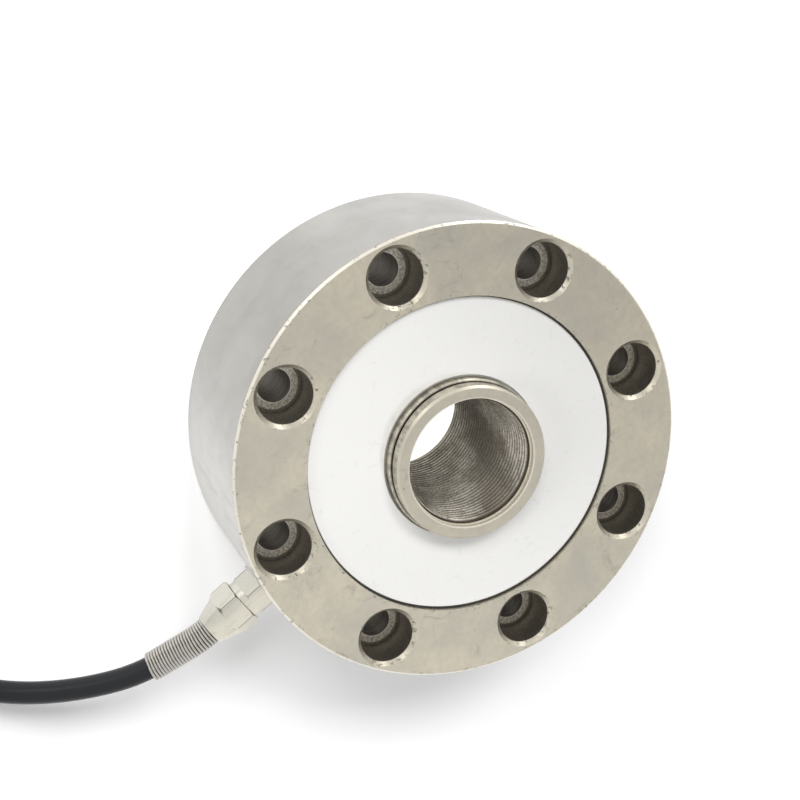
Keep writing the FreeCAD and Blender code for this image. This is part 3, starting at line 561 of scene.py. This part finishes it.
def hole_distance(finish):
    """Distance from the axis of the nearest bolt hole."""
    angle = finish.math("ARCTAN2", finish.y, finish.x)
    turned = finish.math("ADD", angle, 2.0 * math.pi + BOLT_PITCH / 2 - FIRST_BOLT_ANGLE)
    local = finish.math("SUBTRACT", finish.math("MODULO", turned, BOLT_PITCH), BOLT_PITCH / 2)
    along = finish.product(finish.radius, finish.math("COSINE", local))
    aside = finish.product(finish.radius, finish.math("SINE", local))
    return finish.length(finish.math("SUBTRACT", along, BOLT_CIRCLE_RADIUS), aside)


def face_colour(finish, mottle):
    """Mottled nickel plate of the flat faces, dulled and stained in patches."""
    peel = finish.noise(1.6, detail=3.0, rough=0.6)
    cloud = finish.noise(11.0, detail=3.0, rough=0.55)
    patch = finish.noise(7.0, detail=5.0, rough=0.7, warp=1.4)
    colour = finish.mix(finish.ramp(mottle, 0.30, 0.70), (0.675, 0.622, 0.503), (0.556, 0.525, 0.442))
    colour = finish.stain(colour, peel, 0.35, 0.65, 0.25, (0.485, 0.445, 0.36))
    colour = finish.stain(colour, cloud, 0.45, 0.70, 0.35, (0.475, 0.46, 0.405))
    return finish.stain(colour, patch, 0.57, 0.72, 0.45, (0.36, 0.33, 0.26))


def side_colour(finish, mottle):
    """Greyer side of the ring with upright streaks. Round the gland it is painted lighter, a painted reflection of
    bright floor, and it is darker over a band of azimuths beside that.
    """
    streaks = finish.noise(5.0, detail=5.0, rough=0.6, stretch=(1.0, 1.0, 0.3), warp=0.5)
    ragged = finish.math("ADD", finish.azimuth(), finish.product(streaks, 14.0))
    painted_floor_reflection = finish.mask((ragged, -50.0, -18.0), (ragged, 110.0, 60.0))
    darker_band = finish.mask((ragged, -112.0, -80.0), (ragged, -40.0, -62.0))
    colour = finish.mix(finish.ramp(mottle, 0.25, 0.75), (0.43, 0.425, 0.40), (0.34, 0.33, 0.307))
    # Painted reflection: the side round the gland gets a lighter colour, as if it mirrored brightly lit floor.
    colour = finish.mix(painted_floor_reflection, colour, (0.60, 0.59, 0.56))
    # Darker over a band of azimuths.
    colour = finish.mix(finish.product(darker_band, 0.45), colour, (0.31, 0.30, 0.275))
    return finish.stain(colour, streaks, 0.45, 0.70, 0.35, (0.30, 0.29, 0.265))


def rim_nicks(finish, holes):
    """Mask of the nicks along the ring's edge, the recess's edge and the counterbores' edges."""
    recess = finish.mask((finish.radius, RECESS_RADIUS + 1.45, RECESS_RADIUS + 0.45), (finish.radius, 30.0, 31.0))
    rims = finish.math("MAXIMUM", finish.ramp(finish.radius, RING_RADIUS - 1.7, RING_RADIUS - 0.7), recess)
    counterbores = finish.ramp(holes, COUNTERBORE_RADIUS + 1.95, COUNTERBORE_RADIUS + 0.65)
    rims = finish.math("MAXIMUM", rims, counterbores)
    marks = finish.ramp(finish.noise(1.3, detail=4.0, rough=0.7), 0.56, 0.66)
    return finish.product(rims, finish.ramp(finish.z, RING_TOP - 2.3, RING_TOP - 0.9), marks)


def hub_grime_and_shade(finish, colour):
    """Colour with dark patches down the hub's side, partly grime and partly a painted dark reflection of the rounded
    shoulder, and painted shade as a dark line in its groove.
    """
    hub = finish.mask(
        (finish.radius, COLLAR_RADIUS + 0.8, COLLAR_RADIUS + 0.5),
        (finish.radius, MOUTH_RADIUS + 0.15, MOUTH_RADIUS + 0.35),
        (finish.z, RING_TOP - 2.0, RING_TOP - 1.6),
    )
    grime_and_reflection_noise = finish.noise(2.4, detail=5.0, rough=0.65, stretch=(1.0, 1.0, 0.4))
    skirt = finish.product(hub, finish.ramp(finish.z, HUB_SIDE_TOP + 0.1, HUB_SIDE_TOP - 0.1))
    grime_and_reflection = finish.product(skirt, finish.ramp(grime_and_reflection_noise, 0.42, 0.62, 0.0, 0.65))
    # Dark patches: partly grime, partly a painted dark reflection of the rounded shoulder.
    colour = finish.mix(grime_and_reflection, colour, (0.20, 0.185, 0.155))
    # Painted shade: the groove above the collar is darkened to a dark line.
    groove = finish.mask((finish.z, COLLAR_TOP - 0.3, COLLAR_TOP - 0.05), (finish.z, GROOVE_TOP + 0.3, GROOVE_TOP))
    return finish.mix(finish.product(hub, groove, 0.75), colour, (0.12, 0.107, 0.085))


def bolt_hole_colour(finish, holes):
    """Dull gritty wall of the counterbore, turned wall of the bolt hole, and pale seat with painted shade in its
    outer corner.
    """
    grit = finish.ramp(finish.noise(0.6, detail=4.0, rough=0.7), 0.38, 0.62)
    turning = finish.ramp(finish.noise(0.9, stretch=(0.15, 0.15, 1.0)), 0.4, 0.6)
    wall = finish.mix(grit, (0.27, 0.25, 0.215), (0.38, 0.355, 0.31))
    bore = finish.mix(turning, (0.58, 0.555, 0.52), (0.72, 0.695, 0.65))
    wall = finish.mix(finish.ramp(holes, BOLT_HOLE_RADIUS + 0.4, BOLT_HOLE_RADIUS + 0.2), wall, bore)
    seat = finish.mix(grit, (0.36, 0.333, 0.283), (0.72, 0.675, 0.585))
    # Painted shade: the seat darkens towards the foot of the counterbore wall.
    corner = (COUNTERBORE_RADIUS - 1.05, COUNTERBORE_RADIUS - 0.7)
    seat = finish.stain(seat, holes, *corner, 0.85, (0.13, 0.12, 0.10))
    on_seat = finish.mask(
        (finish.z, COUNTERBORE_FLOOR + 0.4, COUNTERBORE_FLOOR + 0.2),
        (finish.z, COUNTERBORE_FLOOR - 0.4, COUNTERBORE_FLOOR - 0.2),
        (holes, BOLT_HOLE_RADIUS + 0.1, BOLT_HOLE_RADIUS + 0.3),
    )
    return finish.mix(on_seat, wall, seat)


def nicked_steel():
    """Worn nickel-plated steel: mottled face, streaked side, dull gritty bolt holes, nicks along the rims, and
    painted light and shade: a lighter side round the gland, a highlight on the rim chamfer, a paler mouth band, and
    dark reflection and shade on the hub and in the seats' corners.
    """
    finish = Finish("nicked_steel")
    holes = hole_distance(finish)
    mottle = finish.noise(24.0, detail=5.0, rough=0.6, warp=0.6)
    grain = finish.noise(0.35, detail=3.0, rough=0.7)
    nicks = rim_nicks(finish, holes)
    pits = finish.mask((finish.cells(6.0, "Distance"), 0.07, 0.02), (finish.cells(6.0, "Color"), 0.60, 0.65))

    chamfer_foot = RING_TOP - RIM_CHAMFER
    side = finish.mask(
        (finish.radius, RING_RADIUS - 0.7, RING_RADIUS - 0.4), (finish.z, chamfer_foot, chamfer_foot - 0.3)
    )
    edge = finish.mask(
        (finish.radius, RING_RADIUS - 0.62, RING_RADIUS - 0.52), (finish.z, chamfer_foot - 0.05, chamfer_foot + 0.05)
    )
    mouth = finish.mask(
        (finish.radius, MOUTH_RADIUS + 0.1, MOUTH_RADIUS + 0.05), (finish.z, MOUTH_FLOOR - 0.3, MOUTH_FLOOR - 0.1)
    )
    in_holes = finish.mask(
        (holes, COUNTERBORE_RADIUS + 0.2, COUNTERBORE_RADIUS + 0.05),
        (finish.z, RING_TOP - 0.8, RING_TOP - 1.1),
        (finish.radius, RING_RADIUS - 0.6, RING_RADIUS - 1.0),
        (finish.z, 0.05, 0.25),
    )

    colour = finish.mix(side, face_colour(finish, mottle), side_colour(finish, mottle))
    # Painted highlight: a pale line along the foot of the rim chamfer.
    colour = finish.mix(finish.product(edge, 0.8), colour, (0.88, 0.84, 0.74))
    colour = finish.mix(finish.product(nicks, 0.65), colour, (0.17, 0.155, 0.125))
    # Hub: grime, painted dark reflection, and painted shade in the groove.
    colour = hub_grime_and_shade(finish, colour)
    # Painted light: the mouth band above the thread gets a paler colour than the plate, against the dark bore it
    # mirrors.
    colour = finish.mix(mouth, colour, (0.82, 0.78, 0.69))
    colour = finish.mix(in_holes, colour, bolt_hole_colour(finish, holes))
    colour = finish.mix(finish.product(pits, 0.6), colour, (0.22, 0.20, 0.165))

    rough = finish.math("ADD", finish.blend(mottle, 0.24, 0.36), finish.product(grain, 0.10))
    rough = finish.blend(in_holes, rough, 0.48)
    rough = finish.blend(mouth, rough, 0.75)
    normal = finish.bump(grain, 0.004)
    normal = finish.bump(finish.math("SUBTRACT", 1.0, nicks), 0.08, normal)
    normal = finish.bump(finish.math("SUBTRACT", 1.0, pits), 0.05, normal)
    return finish.done(colour, rough, metallic=1.0, normal=normal)


# Where the oily streak winds through the bore: its azimuth at the back in degrees, and degrees lost a millimetre
STREAK_AZIMUTH = 172.0
STREAK_TURN = 1.7


def thread_steel():
    """Thread flanks: bare crests, painted shade in the grooves, and an oily streak that winds up the bore."""
    finish = Finish("thread_steel")
    mottle = finish.noise(5.0, detail=4.0, warp=0.8)
    grain = finish.noise(0.5, detail=3.0, rough=0.7)
    winding = finish.math("ADD", finish.azimuth(), finish.product(finish.z, STREAK_TURN))
    away = finish.math("ABSOLUTE", finish.math("SUBTRACT", winding, STREAK_AZIMUTH))
    ragged = finish.product(finish.noise(3.0, detail=4.0, stretch=(1.0, 1.0, 0.4)), 40.0)
    groove = finish.ramp(finish.radius, 15.85, 16.35)
    colour = finish.mix(finish.ramp(mottle, 0.35, 0.65), (0.70, 0.655, 0.575), (0.46, 0.425, 0.36))
    colour = finish.stain(colour, finish.math("ADD", away, ragged), 62.0, 28.0, 0.9, (0.20, 0.178, 0.145))
    # Painted shade: the thread's roots are darkened.
    colour = finish.mix(groove, colour, (0.085, 0.073, 0.057))
    colour = finish.stain(colour, grain, 0.48, 0.66, 0.7, (0.12, 0.105, 0.08))
    return finish.done(colour, finish.blend(grain, 0.30, 0.50), metallic=1.0, normal=finish.bump(grain, 0.02))


# Finishes of the other pieces

def cover_sheet():
    """Bright pale cover with faint smears."""
    finish = Finish("cover_sheet")
    cloud = finish.noise(16.0, detail=3.0)
    smear = finish.noise(2.5, detail=4.0, rough=0.6, warp=1.0)
    fine = finish.noise(0.5)
    colour = finish.mix(cloud, (0.90, 0.895, 0.875), (0.865, 0.86, 0.84))
    colour = finish.stain(colour, smear, 0.58, 0.72, 0.45, (0.73, 0.72, 0.70))
    return finish.done(colour, finish.blend(fine, 0.14, 0.22), metallic=0.4, normal=finish.bump(cloud, 0.01))


def gland_metal(name, roll, flats):
    """Nickel-plated hexagon: faint streaks along the axis, painted shade on its -y half, and a thin dark line along
    each corner as a painted dark reflection of a rounded edge.
    """
    finish = Finish(name)
    face_angle = math.radians(60.0)
    up = finish.math("SUBTRACT", finish.z, GLAND_AXIS_HEIGHT)
    reach = finish.length(finish.y, up)
    angle = finish.math("ARCTAN2", up, finish.y)
    turned = finish.math("ADD", angle, 2.0 * math.pi + face_angle / 2 - math.radians(roll))
    local = finish.math("SUBTRACT", finish.math("MODULO", turned, face_angle), face_angle / 2)
    aside = finish.math("ABSOLUTE", finish.product(reach, finish.math("SINE", local)))
    corner_radius = flats / math.sqrt(3.0)
    corner = finish.mask((aside, 0.20, 0.06), (reach, 0.93 * corner_radius, 0.97 * corner_radius))
    mottle = finish.noise(3.0, detail=4.0, rough=0.6)
    streak = finish.noise(1.3, detail=4.0, rough=0.6, stretch=(0.12, 1.0, 1.0))
    grain = finish.noise(0.3, detail=3.0, stretch=(0.3, 1.0, 1.0))
    colour = finish.mix(mottle, (0.77, 0.735, 0.63), (0.70, 0.665, 0.56))
    # Painted shade: the flats on the -y side are darkened.
    colour = finish.stain(colour, finish.y, 0.0, -4.0, 0.8, (0.56, 0.55, 0.49))
    colour = finish.stain(colour, streak, 0.50, 0.70, 0.45, (0.46, 0.43, 0.36))
    # Painted reflection: a thin dark line along each corner, where a rounded edge would mirror darker surroundings.
    colour = finish.mix(finish.product(corner, 0.75), colour, (0.20, 0.18, 0.14))
    return finish.done(colour, finish.blend(grain, 0.22, 0.36), metallic=1.0, normal=finish.bump(grain, 0.006))


def foil_gauge():
    """Polyimide carrier with the fine grid lines of a foil gauge."""
    finish = Finish("foil_gauge")
    wave = finish.node("ShaderNodeTexWave", wave_type="BANDS", bands_direction="Z")
    finish.link(finish.place, wave.inputs["Vector"])
    wave.inputs["Scale"].default_value = 0.9
    lines = finish.ramp(wave.outputs["Fac"], 0.45, 0.55)
    colour = finish.mix(lines, (0.60, 0.36, 0.10), (0.70, 0.62, 0.50))
    return finish.done(colour, 0.35, normal=finish.bump(lines, 0.01))


def cable_jacket():
    """Black jacket with a soft gloss."""
    finish = Finish("cable_jacket")
    mottle = finish.noise(6.0, detail=3.0)
    grain = finish.noise(0.35, detail=3.0, rough=0.6)
    colour = finish.mix(mottle, (0.006, 0.007, 0.009), (0.010, 0.011, 0.013))
    return finish.done(colour, finish.blend(grain, 0.26, 0.34), normal=finish.bump(grain, 0.006), IOR=1.38)


def drawn_metal(name, light, dark, rough_low, rough_high):
    """Plated or drawn metal with a soft variation of colour and gloss."""
    finish = Finish(name)
    mottle = finish.noise(3.0, detail=4.0, rough=0.6)
    grain = finish.noise(0.8, detail=3.0)
    rough = finish.blend(grain, rough_low, rough_high)
    return finish.done(finish.mix(mottle, light, dark), rough, metallic=1.0, normal=finish.bump(grain, 0.006))


def moulded(name, light, dark, rough_low, rough_high, depth=0.01, grain_size=0.4):
    """Plastic, rubber or laminate with a fine grain."""
    finish = Finish(name)
    mottle = finish.noise(5.0, detail=3.0)
    grain = finish.noise(grain_size, detail=3.0, rough=0.6)
    rough = finish.blend(grain, rough_low, rough_high)
    return finish.done(finish.mix(mottle, light, dark), rough, normal=finish.bump(grain, depth))


# Dressing of the CAD nodes

def dress(material, *names):
    """Gives CAD nodes the material in all their slots."""
    for name in names:
        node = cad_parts[name]
        if not node.material_slots:
            node.data.materials.append(material)
        for slot in node.material_slots:
            slot.material = material


def dress_nodes(jacket):
    dress(nicked_steel(), "elastic_element")
    dress(cover_sheet(), "front_cover", "rear_cover")
    dress(gland_metal("gland_base_nickel", 55.5, 11.0), "gland_body")
    dress(gland_metal("gland_cap_nickel", 13.6, 12.0), "gland_cap_nut")
    dress(jacket, "cable_inlet", "cable_tube", "cable_coil", "cable_tail")
    dress(foil_gauge(), *(f"gauge_{number}" for number in range(1, 9)))

    washer = drawn_metal("washer_steel", (0.58, 0.57, 0.55), (0.48, 0.47, 0.45), 0.30, 0.42)
    dress(washer, "gland_washer", "gland_clamp_ring", "strain_spring")
    solder = drawn_metal("solder_tin", (0.72, 0.72, 0.71), (0.60, 0.60, 0.60), 0.22, 0.40)
    dress(solder, "solder_pads", "core_tips")

    sealant = moulded("sealant", (0.030, 0.030, 0.030), (0.045, 0.044, 0.042), 0.45, 0.60)
    dress(sealant, "front_outer_seal", "rear_outer_seal")
    grey_sealant = moulded("grey_sealant", (0.36, 0.35, 0.31), (0.14, 0.135, 0.12), 0.40, 0.55, grain_size=1.2)
    dress(grey_sealant, "front_inner_seal", "rear_inner_seal")
    rubber = moulded("grommet_rubber", (0.020, 0.020, 0.020), (0.030, 0.030, 0.030), 0.55, 0.70)
    dress(rubber, "gland_grommet")
    laminate = moulded("board_laminate", (0.035, 0.14, 0.06), (0.05, 0.18, 0.08), 0.30, 0.45, grain_size=0.25)
    dress(laminate, "terminal_board")
    adhesive = moulded("board_adhesive", (0.62, 0.60, 0.52), (0.70, 0.68, 0.60), 0.5, 0.7)
    dress(adhesive, "board_pad_left", "board_pad_right")
    resistor = moulded("resistor_body", (0.10, 0.16, 0.26), (0.13, 0.19, 0.30), 0.28, 0.40)
    dress(resistor, "trim_resistor_left", "trim_resistor_right")
    sleeve = moulded("shrink_sleeve", (0.018, 0.018, 0.018), (0.026, 0.026, 0.026), 0.38, 0.55, depth=0.02)
    dress(sleeve, "cable_end_sleeve")
    strap = moulded(
        "tie_strap", (0.016, 0.016, 0.017), (0.030, 0.030, 0.032), 0.75, 0.92, depth=0.15, grain_size=0.5
    )
    dress(strap, "coil_tie")

    for core, light, dark in (
        ("red", (0.42, 0.02, 0.015), (0.50, 0.03, 0.02)),
        ("black", (0.014, 0.014, 0.014), (0.022, 0.022, 0.022)),
        ("green", (0.02, 0.20, 0.06), (0.03, 0.25, 0.08)),
        ("white", (0.72, 0.72, 0.70), (0.78, 0.78, 0.76)),
    ):
        dress(moulded(f"core_{core}", light, dark, 0.30, 0.42), f"core_{core}", f"lead_{core}")


make_camera()
make_world()
make_floor()
make_lamps()

jacket = cable_jacket()
dress_nodes(jacket)

cable = make_cable(jacket)
along, line = cable_line(cable, SPRING_LENGTH)
spring_steel = drawn_metal("spring_wire", (0.55, 0.53, 0.495), (0.46, 0.44, 0.405), 0.20, 0.30)
spring = grid_piece("spring_coil", spring_surface(along, line), spring_steel, closed_across=True)
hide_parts("strain_spring")

grid_piece("hub_thread", thread_surface(), thread_steel())

bpy.context.scene.view_settings.view_transform = "Standard"
